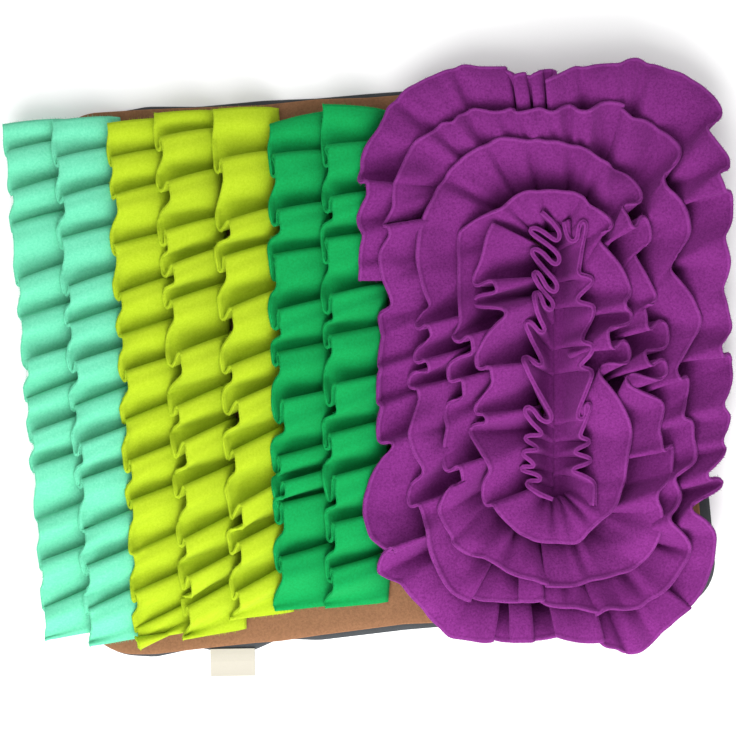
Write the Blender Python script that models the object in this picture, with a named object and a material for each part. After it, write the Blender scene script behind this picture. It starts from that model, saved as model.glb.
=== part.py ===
"""Snuffle mat: a fleece pad with seven straight knife-pleated ruffles and a spiral ruffle round a double one.

The mat lies flat on its backing, face up. +X runs along the pad's long side, +Z is up, and the origin is
under the middle of the pad. Sizes are in millimetres until an object is made.
"""

import math

import bpy
import numpy as np

MM = 0.001

# ---------------------------------------------------------------- driving sizes
PAD_LENGTH = 605.0
PAD_WIDTH = 506.0
PAD_CORNER = 46.0
PAD_EDGE_STEP = 27.0  # from point to point round the pad's edge
BACKING_THICK = 1.8
PAD_THICK = 3.2
GAP = 0.3  # between pieces that lie on each other

FLEECE = 2.5  # thickness of the ruffle cloth
STRIP = 64.0  # cut width of the ruffle cloth, from its seam to its free edge
PLEAT_LIFT = 3.4  # from one layer of a pleat to the next, at the seam
LOWEST = -1.1  # the lowest layer of a pleat, in those steps from the middle one
TUCK_SHARE = 0.33  # from a fold back to the hidden fold under it, as a share of the shorter pleat there
LONGEST_TUCK = 12.0
FOLD_ROOM = 2.0  # a pleat's face is flat this far past the hidden fold under it
FACE_END = 4.0  # and has come down this far before the next fold
FACE_STEP = 3.0  # the least from crest to crest
SEAM_GAP = 0.7  # between the lowest layer of a pleat and the pad
SWING = math.radians(2.0)  # how far the upper and lower layers of a pleat spread towards the free edge

FLOWER_CENTRE = (157.0, -15.7)
FLOWER_TURN = math.radians(-4.0)
SPINE_HALF = 108.0  # half the straight stretch that the spiral winds round
SPIRAL_SHIFT = -3.0  # from the flower's middle line to the spine
SPIRAL_START = 21.5  # from the spine to the seam where the spiral starts
SPIRAL_STEP = 26.2  # more for each turn
SPIRAL_FROM = -0.03  # first and last turn, counted from the top of the left side
SPIRAL_TO = 4.03
SPIRAL_CURL = math.radians(24.0)  # how much flatter the cloth lies at its free edge than at its seam
STEEP_CURL = math.radians(30.0)  # more of that for cloth that stands upright
SPIRAL_SKEW = 6.0

CENTRE_HALF = 42.0  # half the cut width of the double ruffle
CENTRE_ENDS = (-125.0, 131.0)  # of its seam, up the flower's middle line
CENTRE_PITCH = 24.0
CENTRE_ROOT = math.radians(8.0)
CENTRE_BOW = math.radians(12.0)
CENTRE_SKEW = 4.0

LABEL_WIDTH = 42.0
LABEL_LENGTH = 26.0
LABEL_PLY = 0.6
LABEL_PLACE = (-161.9, -261.0)
LABEL_TURN = math.radians(-3.0)

PAD_TOP = BACKING_THICK + GAP + PAD_THICK

# The seven straight ruffles, from left to right. top and bottom are the seam's ends; reach is how far the
# free edge stands out from the seam; curl is how much flatter the cloth lies there than at the seam, and bow
# how much steeper a pleat stands between its folds, in degrees; skew is how far the free edge slides down
# the seam; pitches are from fold to fold, down the seam.
STRAIGHT = (
    dict(name="mint_ruffle_1", dye="mint", top=(-283.0, 249.0), bottom=(-278.0, -233.0),
         reach=61.0, curl=22.0, bow=8.0, skew=11.0,
         pitches=(18.0, 35.0, 34.0, 50.0, 38.0, 44.0, 32.0, 36.0, 34.0, 48.0, 43.0, 40.0, 42.0)),
    dict(name="mint_ruffle_2", dye="mint", top=(-237.0, 248.0), bottom=(-237.5, -235.0),
         reach=58.5, curl=34.0, bow=8.0, skew=11.0,
         pitches=(28.0, 35.0, 41.0, 44.0, 36.0, 40.0, 38.0, 39.0, 36.0, 44.0, 38.0, 37.0, 47.0)),
    dict(name="lime_ruffle_1", dye="lime", top=(-186.0, 243.0), bottom=(-194.0, -233.0),
         reach=58.0, curl=34.0, bow=8.0, skew=10.0,
         pitches=(28.0, 32.0, 50.0, 43.0, 41.0, 38.0, 42.0, 42.0, 40.0, 45.0, 41.0, 31.0, 20.0)),
    dict(name="lime_ruffle_2", dye="lime", top=(-142.0, 247.0), bottom=(-149.5, -238.0),
         reach=57.5, curl=34.0, bow=9.0, skew=10.0,
         pitches=(17.0, 40.0, 48.0, 30.0, 36.0, 52.0, 48.0, 36.0, 44.0, 48.0, 38.0, 26.0, 40.0)),
    dict(name="lime_ruffle_3", dye="lime", top=(-87.0, 246.0), bottom=(-103.5, -229.0),
         reach=57.5, curl=34.0, bow=9.0, skew=10.0,
         pitches=(39.0, 52.0, 33.0, 43.0, 53.0, 33.0, 41.0, 49.0, 36.0, 41.0, 33.0)),
    dict(name="green_ruffle_1", dye="green", top=(-35.0, 238.0), bottom=(-61.0, -225.0),
         reach=57.5, curl=34.0, bow=5.0, skew=7.0,
         pitches=(38.0, 49.0, 43.0, 49.0, 42.0, 46.0, 50.0, 25.0, 22.0, 48.0, 56.0)),
    dict(name="green_ruffle_2", dye="green", top=(14.5, 245.0), bottom=(-14.0, -226.0),
         reach=57.5, curl=12.0, bow=6.0, skew=7.0,
         pitches=(31.0, 47.0, 41.0, 51.0, 41.0, 48.0, 45.0, 42.0, 47.0, 41.0, 44.0)),
)

# The double ruffle's halves: the side of its seam, and how steep the free edge stands, in degrees.
CENTRE_HALVES = (
    dict(side=-1.0, tip=94.0),
    dict(side=1.0, tip=84.0),
)

# Where a pleat's face bows up: as a share of the pleat, the layer there and the share of the full bow.
ONE_CREST = (
    dict(share=0.45, layer=1.0, bow=1.0),
)
TWO_CRESTS = (
    dict(share=0.30, layer=1.0, bow=0.7),
    dict(share=0.62, layer=0.8, bow=1.0),
)

# How far the spiral's free edge reaches out from its seam. Each turn starts in the loop's top left corner and
# goes anticlockwise; the strip ends soon after the last turn's start.
SPIRAL_REACH = (
    dict(turn=0, top_left=44.0, left=32.0, bottom_left=28.0, bottom=25.5, bottom_right=29.0, right=32.0,
         top_right=25.0, top=17.0),
    dict(turn=1, top_left=40.0, left=36.5, bottom_left=37.0, bottom=36.0, bottom_right=35.0, right=35.5,
         top_right=35.0, top=31.0),
    dict(turn=2, top_left=42.0, left=46.0, bottom_left=41.0, bottom=33.5, bottom_right=37.5, right=40.0,
         top_right=40.0, top=36.0),
    dict(turn=3, top_left=47.0, left=57.0, bottom_left=54.0, bottom=41.0, bottom_right=50.0, right=48.0,
         top_right=57.0, top=46.5),
    dict(turn=4, top_left=52.0, left=52.0, bottom_left=60.0, bottom=60.0, bottom_right=60.0, right=60.0,
         top_right=60.0, top=60.0),
)
# How much steeper a pleat stands there between its folds, in degrees: the loop's sides are loose, and the
# cloth is nearly smooth round its ends.
SPIRAL_BOW = dict(top_left=3.0, left=11.0, bottom_left=6.0, bottom=2.0, bottom_right=6.0, right=11.0,
                  top_right=6.0, top=3.0)
# From fold to fold along the spiral's seam, side by side in the order that it is sewn.
SPIRAL_PITCHES = (
    dict(turn=0, left=(37, 21, 50, 49, 22, 53), bottom=(23, 45), right=(86, 79, 32, 29, 55), top=(49, 47)),
    dict(turn=1, left=(34, 75, 38, 32, 50, 34), bottom=(25, 52, 31, 39),
         right=(24, 35, 45, 40, 27, 35, 54, 40), top=(71, 41, 33)),
    dict(turn=2, left=(57, 59, 30, 25, 47, 53), bottom=(34, 42, 25, 22, 38, 38),
         right=(30, 72, 28, 41, 57, 84, 54), top=(44, 32, 23, 22, 25, 26, 22)),
    dict(turn=3, left=(43, 25, 56, 37, 37, 35, 52, 45), bottom=(54, 26, 26, 22, 30, 23, 43),
         right=(47, 42, 34, 32, 53, 28, 67, 39, 29, 24), top=(57, 38, 22, 20, 20, 31, 35)),
    dict(turn=4, left=(59, 28, 46), bottom=(), right=(), top=()),
)

# Round the pad's edge, as shares of a turn anticlockwise from the middle of the right side: how far the pad
# bulges out or in, and how far the backing shows past it.
PAD_EDGE = (
    dict(share=0.00, bulge=0.0, backing=9.0),
    dict(share=0.08, bulge=1.0, backing=5.0),
    dict(share=0.14, bulge=0.0, backing=5.0),
    dict(share=0.20, bulge=-1.0, backing=3.0),
    dict(share=0.25, bulge=-2.0, backing=4.0),
    dict(share=0.28, bulge=0.0, backing=1.0),
    dict(share=0.31, bulge=-2.0, backing=4.5),
    dict(share=0.34, bulge=0.0, backing=1.0),
    dict(share=0.36, bulge=1.5, backing=3.0),
    dict(share=0.38, bulge=2.0, backing=-4.0),
    dict(share=0.50, bulge=0.0, backing=-4.0),
    dict(share=0.60, bulge=2.0, backing=-3.0),
    dict(share=0.63, bulge=8.0, backing=3.0),
    dict(share=0.645, bulge=6.0, backing=-1.0),
    dict(share=0.655, bulge=5.0, backing=7.0),
    dict(share=0.668, bulge=4.0, backing=7.0),
    dict(share=0.68, bulge=4.0, backing=-2.0),
    dict(share=0.70, bulge=1.0, backing=5.0),
    dict(share=0.75, bulge=-4.0, backing=6.0),
    dict(share=0.79, bulge=-2.0, backing=3.0),
    dict(share=0.87, bulge=2.0, backing=9.0),
    dict(share=0.90, bulge=0.0, backing=12.0),
    dict(share=0.95, bulge=-2.0, backing=11.0),
    dict(share=1.00, bulge=0.0, backing=9.0),
)

# Cloth colours: name, base colour (linear), roughness.
CLOTHS = {
    "mint": ((0.19, 0.78, 0.50), 0.95),
    "lime": ((0.48, 0.68, 0.03), 0.95),
    "green": ((0.01, 0.36, 0.10), 0.95),
    "purple": ((0.20, 0.022, 0.22), 0.95),
    "brown": ((0.24, 0.11, 0.055), 0.95),
    "backing": ((0.022, 0.026, 0.028), 0.90),
    "label": ((0.80, 0.72, 0.58), 0.85),
}


# ---------------------------------------------------------------- small helpers
def clear_scene():
    for obj in list(bpy.data.objects):
        bpy.data.objects.remove(obj)


def cloth_material(dye):
    found = bpy.data.materials.get(dye)
    if found:
        return found
    colour, roughness = CLOTHS[dye]
    made = bpy.data.materials.new(dye)
    made.use_nodes = True
    shader = made.node_tree.nodes["Principled BSDF"]
    shader.inputs["Base Color"].default_value = (*colour, 1.0)
    shader.inputs["Roughness"].default_value = roughness
    shader.inputs["Metallic"].default_value = 0.0
    return made


def add_object(name, points, faces, dye):
    """One closed solid from points in millimetres."""
    mesh = bpy.data.meshes.new(name)
    mesh.from_pydata((np.asarray(points) * MM).tolist(), [], faces)
    mesh.materials.append(cloth_material(dye))
    mesh.validate()
    obj = bpy.data.objects.new(name, mesh)
    bpy.context.scene.collection.objects.link(obj)
    return obj


def table_column(rows, at, column, where):
    """A column of a table, read between its rows."""
    return np.interp(where, [row[at] for row in rows], [row[column] for row in rows])


def jitter(k, step=0.618034):
    """An even scatter between -1 and 1 for whole numbers k."""
    return 2.0 * ((k * step) % 1.0) - 1.0


class Seam:
    """A line on the pad, such as one that a ruffle is sewn along, read by the distance from its start."""

    def __init__(self, points):
        points = np.asarray(points, float)
        steps = np.linalg.norm(np.diff(points, axis=0), axis=1)
        self.at = np.concatenate([[0.0], np.cumsum(steps)])
        self.points = points
        self.length = self.at[-1]
        heading = np.gradient(points, self.at, axis=0)
        self.heading = heading / np.linalg.norm(heading, axis=1)[:, None]

    def read(self, distance):
        """(points, headings) there; past an end the seam runs straight on."""
        inside = np.clip(distance, 0.0, self.length)
        point = np.stack([np.interp(inside, self.at, self.points[:, i]) for i in (0, 1)], axis=-1)
        heading = np.stack([np.interp(inside, self.at, self.heading[:, i]) for i in (0, 1)], axis=-1)
        heading /= np.linalg.norm(heading, axis=-1)[..., None]
        return point + heading * (distance - inside)[..., None], heading


# ---------------------------------------------------------------- pad, backing and label
def pad_outline(*columns):
    """Points round the pad's edge, anticlockwise, moved out by these columns of the edge table."""
    half_x, half_y = PAD_LENGTH / 2 - PAD_CORNER, PAD_WIDTH / 2 - PAD_CORNER
    track = []
    middles = ((half_x, half_y), (-half_x, half_y), (-half_x, -half_y), (half_x, -half_y))
    for side, (cx, cy) in enumerate(middles):
        for angle in np.linspace(math.pi / 2 * side, math.pi / 2 * (side + 1), 13):
            track.append((cx + PAD_CORNER * math.cos(angle), cy + PAD_CORNER * math.sin(angle)))
    track = Seam(track + track[:1])
    points, heading = track.read(np.linspace(0.0, track.length, round(track.length / PAD_EDGE_STEP) + 1)[:-1])
    outward = np.stack([heading[:, 1], -heading[:, 0]], axis=-1)
    shares = (np.arctan2(points[:, 1], points[:, 0]) / (2 * math.pi)) % 1.0
    out = sum(table_column(PAD_EDGE, "share", column, shares) for column in columns)
    return points + outward * out[:, None]


def slab(name, outline, low, high, edge, dye):
    """A flat sheet with this outline and rounded edges."""
    centre = outline.mean(axis=0)
    inward = centre - outline
    inward /= np.linalg.norm(inward, axis=1)[:, None]
    rings = (
        (outline + inward * edge, low),
        (outline, low + edge * 0.6),
        (outline, high - edge * 0.6),
        (outline + inward * edge, high),
    )
    count = len(outline)
    points = np.concatenate([np.column_stack([ring, np.full(count, z)]) for ring, z in rings])
    faces = [list(range(count))[::-1], list(range(3 * count, 4 * count))]
    for ring in range(3):
        for i in range(count):
            j = (i + 1) % count
            faces.append([ring * count + i, ring * count + j, (ring + 1) * count + j, (ring + 1) * count + i])
    return add_object(name, points, faces, dye)


def make_pad():
    slab("pad_top", pad_outline("bulge"), BACKING_THICK + GAP, PAD_TOP, 1.2, "brown")
    slab("pad_backing", pad_outline("bulge", "backing"), 0.0, BACKING_THICK, 0.5, "backing")


def make_label():
    """A blank woven tape folded in two. It leaves the pad's seam over the backing and droops to the floor."""
    turned = np.array([
        [math.cos(LABEL_TURN), math.sin(LABEL_TURN)],
        [-math.sin(LABEL_TURN), math.cos(LABEL_TURN)],
    ])
    run = np.array([0.0, 5.0, 12.0, 20.0, LABEL_LENGTH])
    low = np.array([BACKING_THICK + GAP, BACKING_THICK + GAP, 1.6, 0.5, 0.1])
    ply = LABEL_PLY
    section = []
    for x, z in zip(run, low):
        section.append((x, z))
    section.append((run[-1] + ply, low[-1] + ply * 1.4))
    for x, z in zip(run[::-1], low[::-1]):
        section.append((x, z + 2.8 * ply))
    for x, z in zip(run[:-1], low[:-1]):
        section.append((x, z + 1.8 * ply))
    section.append((run[-1] - ply, low[-1] + 1.4 * ply))
    for x, z in zip(run[-2::-1], low[-2::-1]):
        section.append((x, z + ply))
    count = len(section)
    points, faces = [], [list(range(count)), list(range(count, 2 * count))[::-1]]
    for side in (0.5, -0.5):
        for drop, z in section:
            x, y = np.array([side * LABEL_WIDTH, -drop]) @ turned + LABEL_PLACE
            points.append((x, y, z))
    for i in range(count):
        j = (i + 1) % count
        faces.append([i, count + i, count + j, j])
    add_object("label", points, facing_out(points, faces), "label")


# ---------------------------------------------------------------- the seams that the ruffles follow
def straight_seam(top, bottom):
    return Seam(np.linspace(top, bottom, 12))


def on_flower(points):
    """Points of the flower's own upright plan, turned and put in their place on the pad."""
    points = np.asarray(points, float)
    c, s = math.cos(FLOWER_TURN), math.sin(FLOWER_TURN)
    return points @ np.array([[c, s], [-s, c]]) + np.array(FLOWER_CENTRE)


def loop_share():
    """Share of a turn taken by a side and by an end, at the spiral's middle radius."""
    side = 2 * SPINE_HALF
    end = math.pi * (SPIRAL_START + 2 * SPIRAL_STEP)
    return side / (2 * (side + end)), end / (2 * (side + end))


def spiral_point(turn):
    """A point of the spiral seam: down the left side, round the bottom, up the right side, over the top."""
    side, end = loop_share()
    radius = SPIRAL_START + SPIRAL_STEP * turn
    part = turn % 1.0
    squareness = 0.97 - 0.08 * turn  # below 1 the ends are squarer than a half circle
    if part < side:
        return SPIRAL_SHIFT - radius, SPINE_HALF * (1 - 2 * part / side)
    if part < side + end:
        angle = math.pi * (1 + (part - side) / end)
    elif part < 2 * side + end:
        return SPIRAL_SHIFT + radius, SPINE_HALF * (2 * (part - side - end) / side - 1)
    else:
        angle = math.pi * (part - 2 * side - end) / end
    across, up = math.cos(angle), math.sin(angle)
    end_y = SPINE_HALF if up > 0 else -SPINE_HALF
    return (
        SPIRAL_SHIFT + math.copysign(abs(across) ** squareness, across) * radius,
        end_y + math.copysign(abs(up) ** squareness, up) * radius,
    )


def spiral_seam():
    turns = np.linspace(SPIRAL_FROM, SPIRAL_TO, 3000)
    return Seam(on_flower([spiral_point(turn) for turn in turns])), turns


# ---------------------------------------------------------------- pleats and ruffles
def knife_pleats(pitches, crests):
    """Corners of a run of knife pleats: distance along the seam, layer (1 on top, -1 below), pleat and bow.

    Each pleat's face starts at its fold, bows up at its crests, slopes down under the next fold, turns back
    there and comes up to the next fold between the two faces.
    """
    tucks = TUCK_SHARE * np.minimum(pitches, np.append(pitches[1:], pitches[-1]))
    tucks = np.minimum(tucks, LONGEST_TUCK)
    corners, start = [], 0.0
    for k, pitch in enumerate(pitches):
        corners.append((start, 1.0, k, 0.0))
        least = start + FOLD_ROOM + (tucks[k - 1] if k else 0.0)
        for crest in crests:
            place = max(least, start + crest["share"] * pitch)
            corners.append((place, crest["layer"], k, crest["bow"]))
            least = place + FACE_STEP
        start += pitch
        if k == len(pitches) - 1:
            corners.append((start, -1.0, k, 0.0))
            break
        corners += [
            (start - FACE_END, LOWEST, k, 0.0),
            (start + tucks[k], LOWEST, k + 1, 0.0),
            (start + tucks[k], 0.0, k + 1, 0.0),
            (start, 0.0, k + 1, 0.0),
        ]
    return np.array(corners)


def arc_reach(width, start, end):
    """(outward, upward) reach of cloth that curves evenly from one tilt to another, both in radians."""
    turn = np.where(np.abs(end - start) < 1e-6, 1e-6, end - start)
    out = width * (np.sin(start + turn) - np.sin(start)) / turn
    up = width * (np.cos(start) - np.cos(start + turn)) / turn
    return out, up


def tilts(width, reach, curl):
    """(tilt at the seam, tilt at the free edge) of cloth that reaches this far out and flattens by curl."""
    mean = np.arccos(np.clip(reach / width * (curl / 2) / np.sin(curl / 2), 0.0, 1.0))
    return mean + curl / 2, mean - curl / 2


def ruffle_grid(seam, corners, shares, width, root, tip, bow, skew, side=1.0):
    """Middle surface of a pleated strip: one row of points for each corner, from its seam to its free edge.

    root and tip are tilts and bow is how far a crest adds to them, in radians, for each corner.
    """
    along = corners[:, :1] + skew * shares[None, :] ** 1.5
    layer = corners[:, 1:2]
    loose = 1.0 + 0.3 * jitter(corners[:, 2:3], 0.7548777)
    crest = np.reshape(bow, (-1, 1)) * loose * corners[:, 3:4]
    start = np.reshape(root, (-1, 1)) + 0.2 * crest
    end = np.reshape(tip, (-1, 1)) + crest + SWING * layer
    here = start + (end - start) * shares[None, :]
    out, up = arc_reach(width * shares[None, :], start, here)
    point, heading = seam.read(along)
    outward = np.stack([heading[..., 1], -heading[..., 0]], axis=-1) * side
    out = out - np.sin(here) * PLEAT_LIFT * layer
    under = (FLEECE / 2 - LOWEST * PLEAT_LIFT) * np.abs(np.cos(np.reshape(root, (-1, 1))))
    height = PAD_TOP + SEAM_GAP + under + up + np.cos(here) * PLEAT_LIFT * layer
    return np.concatenate([point + outward * out[..., None], height[..., None]], axis=-1)


def thicken(grid, thick, along):
    """Points and faces of the closed solid round a grid of middle points.

    Where along, the rows' distance down the seam, runs back, the faces are split on their other diagonal, so
    that a pleat's layers stay the same distance apart.
    """
    def unit(v):
        return v / np.maximum(np.linalg.norm(v, axis=-1, keepdims=True), 1e-9)

    run = unit(np.diff(grid, axis=0))
    before = np.concatenate([run[:1], run])
    after = np.concatenate([run, run[-1:]])
    across = unit(np.gradient(grid, axis=1))
    first, second = unit(np.cross(across, before)), unit(np.cross(across, after))
    middle = unit(first + second)
    reach = 1.0 / np.maximum((middle * first).sum(axis=-1, keepdims=True), 0.6)
    offset = middle * reach * thick / 2
    rows, columns = grid.shape[:2]
    points = np.concatenate([(grid + offset).reshape(-1, 3), (grid - offset).reshape(-1, 3)])
    lower = rows * columns
    faces = []
    for i in range(rows - 1):
        for j in range(columns - 1):
            a, b = i * columns + j, i * columns + j + 1
            c, d = b + columns, a + columns
            halves = [[a, b, d], [b, c, d]] if along[i + 1] < along[i] else [[a, b, c], [a, c, d]]
            faces += halves
            faces += [[lower + corner for corner in half[::-1]] for half in halves]
    for i in range(rows - 1):
        a, b = i * columns, (i + 1) * columns
        faces.append([a, b, lower + b, lower + a])
        a, b = a + columns - 1, b + columns - 1
        faces.append([b, a, lower + a, lower + b])
    for j in range(columns - 1):
        a, b = j, j + 1
        faces.append([b, a, lower + a, lower + b])
        a, b = a + (rows - 1) * columns, b + (rows - 1) * columns
        faces.append([a, b, lower + b, lower + a])
    return points, faces


def facing_out(points, faces):
    """The faces, turned round if they enclose a negative volume."""
    points = np.asarray(points)
    volume = 0.0
    for face in faces:
        a = points[face[0]]
        for i in range(1, len(face) - 1):
            volume += np.dot(a, np.cross(points[face[i]], points[face[i + 1]]))
    return faces if volume > 0 else [face[::-1] for face in faces]


def make_straight(row):
    pitches = np.array(row["pitches"])
    seam = straight_seam(row["top"], row["bottom"])
    corners = knife_pleats(pitches * seam.length / pitches.sum(), ONE_CREST)
    root, tip = tilts(STRIP, row["reach"], math.radians(row["curl"]))
    level = np.ones(len(corners))
    grid = ruffle_grid(
        seam, corners, np.array([0.0, 0.5, 1.0]), STRIP, root * level, tip * level,
        math.radians(row["bow"]) * level, row["skew"],
    )
    points, faces = thicken(grid, FLEECE, corners[:, 0])
    add_object(row["name"], points, facing_out(points, faces), row["dye"])


def make_spiral():
    seam, turns = spiral_seam()
    pitches = np.array([
        pitch for row in SPIRAL_PITCHES for side in ("left", "bottom", "right", "top") for pitch in row[side]
    ], float)
    corners = knife_pleats(pitches * seam.length / pitches.sum(), TWO_CRESTS)
    where = np.interp(corners[:, 0], seam.at, turns)
    side, end = loop_share()
    places = dict(top_left=-0.25 * end, left=0.5 * side, bottom_left=side + 0.25 * end,
                  bottom=side + 0.5 * end, bottom_right=side + 0.75 * end, right=1.5 * side + end,
                  top_right=2 * side + 1.25 * end, top=2 * side + 1.5 * end)
    marks = [row["turn"] + at for row in SPIRAL_REACH for at in places.values()]
    reach = np.interp(where, marks, [row[name] for row in SPIRAL_REACH for name in places])
    bow = np.interp(where, marks, [SPIRAL_BOW[name] for row in SPIRAL_REACH for name in places])
    root, tip = tilts(STRIP, reach, SPIRAL_CURL + STEEP_CURL * (1.0 - reach / STRIP))
    grid = ruffle_grid(
        seam, corners, np.array([0.0, 0.5, 1.0]), STRIP, root, tip, np.radians(bow), SPIRAL_SKEW,
    )
    points, faces = thicken(grid, FLEECE, corners[:, 0])
    add_object("spiral_ruffle", points, facing_out(points, faces), "purple")


def make_centre():
    """A double ruffle sewn down its middle: both halves stand up on either side of the seam."""
    seam = Seam(on_flower(np.linspace((0.0, CENTRE_ENDS[0]), (0.0, CENTRE_ENDS[1]), 12)))
    count = round(seam.length / CENTRE_PITCH)
    pitches = 1.0 + 0.2 * jitter(np.arange(count), 0.7548777)
    corners = knife_pleats(pitches * seam.length / pitches.sum(), ONE_CREST)
    level = np.ones(len(corners))
    halves = [
        ruffle_grid(
            seam, corners, np.array([0.0, 0.3, 1.0]), CENTRE_HALF, CENTRE_ROOT * level,
            math.radians(half["tip"]) * level, CENTRE_BOW * level, CENTRE_SKEW, half["side"],
        )
        for half in CENTRE_HALVES
    ]
    middle = (halves[0][:, :1] + halves[1][:, :1]) / 2
    grid = np.concatenate([halves[0][:, :0:-1], middle, halves[1][:, 1:]], axis=1)
    points, faces = thicken(grid, FLEECE, corners[:, 0])
    add_object("centre_ruffle", points, facing_out(points, faces), "purple")


def main():
    clear_scene()
    make_pad()
    make_label()
    for row in STRAIGHT:
        make_straight(row)
    make_spiral()
    make_centre()


main()
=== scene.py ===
"""Looks for the snuffle mat: a fleece pad with seven straight pleated ruffles and a spiral one."""

import math
from collections import namedtuple

import bpy
import numpy as np
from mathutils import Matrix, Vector


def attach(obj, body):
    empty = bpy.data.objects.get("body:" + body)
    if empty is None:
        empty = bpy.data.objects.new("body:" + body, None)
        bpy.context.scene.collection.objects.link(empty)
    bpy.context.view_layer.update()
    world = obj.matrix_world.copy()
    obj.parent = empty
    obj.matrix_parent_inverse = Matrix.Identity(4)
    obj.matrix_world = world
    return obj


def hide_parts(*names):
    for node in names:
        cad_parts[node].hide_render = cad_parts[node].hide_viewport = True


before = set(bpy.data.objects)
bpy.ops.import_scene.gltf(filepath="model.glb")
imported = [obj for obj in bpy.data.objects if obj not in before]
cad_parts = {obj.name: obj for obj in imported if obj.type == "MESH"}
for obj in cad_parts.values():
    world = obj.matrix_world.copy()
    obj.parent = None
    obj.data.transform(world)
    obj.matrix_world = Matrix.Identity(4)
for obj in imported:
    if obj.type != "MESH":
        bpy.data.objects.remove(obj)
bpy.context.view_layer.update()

MM = 0.001

# ======== backing sheet and pad top
# The base is two sheets sewn together round their edge: a dark non-slip backing, and a brown short-pile
# fleece on top of it. The ruffles hide nearly all of the fleece, and the backing shows as a narrow band.

PAD_LENGTH, PAD_WIDTH, PAD_CORNER = 605.0, 506.0, 46.0
BACKING_THICK, PAD_THICK, LAYER_GAP = 1.8, 3.2, 0.3
BACKING_ROUNDING, PAD_ROUNDING = 0.7, 1.4
PAD_LOW = BACKING_THICK + LAYER_GAP
PAD_TOP = PAD_LOW + PAD_THICK
OUTLINE_STEP, CORNER_POINTS = 6.0, 25
MIDDLE_SHARE = 0.8  # how far out the one large face in the middle of a flat sheet comes

BROWN, BACKING_DARK = (0.26, 0.125, 0.062), (0.030, 0.034, 0.038)
PATCHES, CLUMPS, FIBRES = 16.0, 480.0, 1400.0  # scales of the noise on fleece, in a metre
PILE_DEPTH, WEAVE_DEPTH = 0.0015, 0.0006  # in metres
# The lip of a cut edge is painted lighter as a highlight, and the groove beside it darker as shade.
PLAIN_CLOTH = 0.5  # cut_edge is more than this on the lip of a cut edge, and less in the groove beside it


def table(columns, *rows):
    """Rows of values by the names of these columns."""
    return [dict(zip(columns.split(), row)) for row in rows]


# Round the edge, as shares of a turn anticlockwise from the middle of the right side: how far the pad bulges
# out, and how far the backing shows past it.
PAD_EDGE = table(
    "share bulge backing",
    (0, -15, 9),
    (0.08, -6, 5),
    (0.14, 0, 5),
    (0.20, -1, 3),
    (0.25, -2, 4),
    (0.28, 0, 1),
    (0.31, -2, 4.5),
    (0.34, 0, 1),
    (0.36, 1.5, 3),
    (0.38, 2, -4),
    (0.50, 0, -4),
    (0.60, 2, -3),
    (0.63, 8, 3),
    (0.645, 6, -1),
    (0.655, 5, 7),
    (0.668, 4, 7),
    (0.68, 4, -2),
    (0.70, 1, 5),
    (0.75, -4, 6),
    (0.79, -2, 3),
    (0.84, -3, 6),
    (0.87, -9, 9),
    (0.90, -15, 11),
    (0.95, -17, 10),
    (1, -15, 9),
)
# The section of a flat sheet's rounded edge, from its face outwards, as shares of the rounding: how far it is
# inside the outline, and how far below the face.
ROUNDED = table(
    "inside below",
    (6.0, 0.0),
    (1.0, 0.0),
    (0.3, 0.35),
    (0.0, 1.0),
)


def column(rows, key):
    """One column of a table, from its first row to its last."""
    return np.array([row[key] for row in rows])


def evenly(length, step):
    """Places about a step apart, from 0 to the length."""
    return np.linspace(0.0, length, round(length / step) + 1)


def run_along(points, least=0.0):
    """How far each point is from the first one along them, with this least length added to every step."""
    steps = np.linalg.norm(np.diff(points, axis=0), axis=1) + least
    return np.concatenate([[0.0], np.cumsum(steps)])


class Line:
    """A line on the pad, read by the distance from its start."""

    def __init__(self, points):
        self.points = np.asarray(points, float)
        self.at = run_along(self.points)
        self.length = self.at[-1]
        heading = np.gradient(self.points, self.at, axis=0)
        self.heading = heading / np.linalg.norm(heading, axis=1)[:, None]

    def read(self, distance):
        """(points, outward directions) there; past an end the line runs straight on."""
        inside = np.clip(distance, 0.0, self.length)
        point = np.stack([np.interp(inside, self.at, self.points[:, i]) for i in (0, 1)], axis=-1)
        heading = np.stack([np.interp(inside, self.at, self.heading[:, i]) for i in (0, 1)], axis=-1)
        heading /= np.linalg.norm(heading, axis=-1)[..., None]
        outward = np.stack([heading[..., 1], -heading[..., 0]], axis=-1)
        return point + heading * (distance - inside)[..., None], outward


class Value:
    """A shader socket. Arithmetic on it adds Math nodes to its material."""

    def __init__(self, made, socket):
        self.made, self.socket = made, socket

    def maths(self, operation, first, second):
        return self.made.node("ShaderNodeMath", dict(operation=operation), {0: first, 1: second})

    def __add__(self, other):
        return self.maths("ADD", self, other)

    def __sub__(self, other):
        return self.maths("SUBTRACT", self, other)

    def __rsub__(self, other):
        return self.maths("SUBTRACT", other, self)

    def __mul__(self, other):
        return self.maths("MULTIPLY", self, other)

    __radd__, __rmul__ = __add__, __mul__


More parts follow.
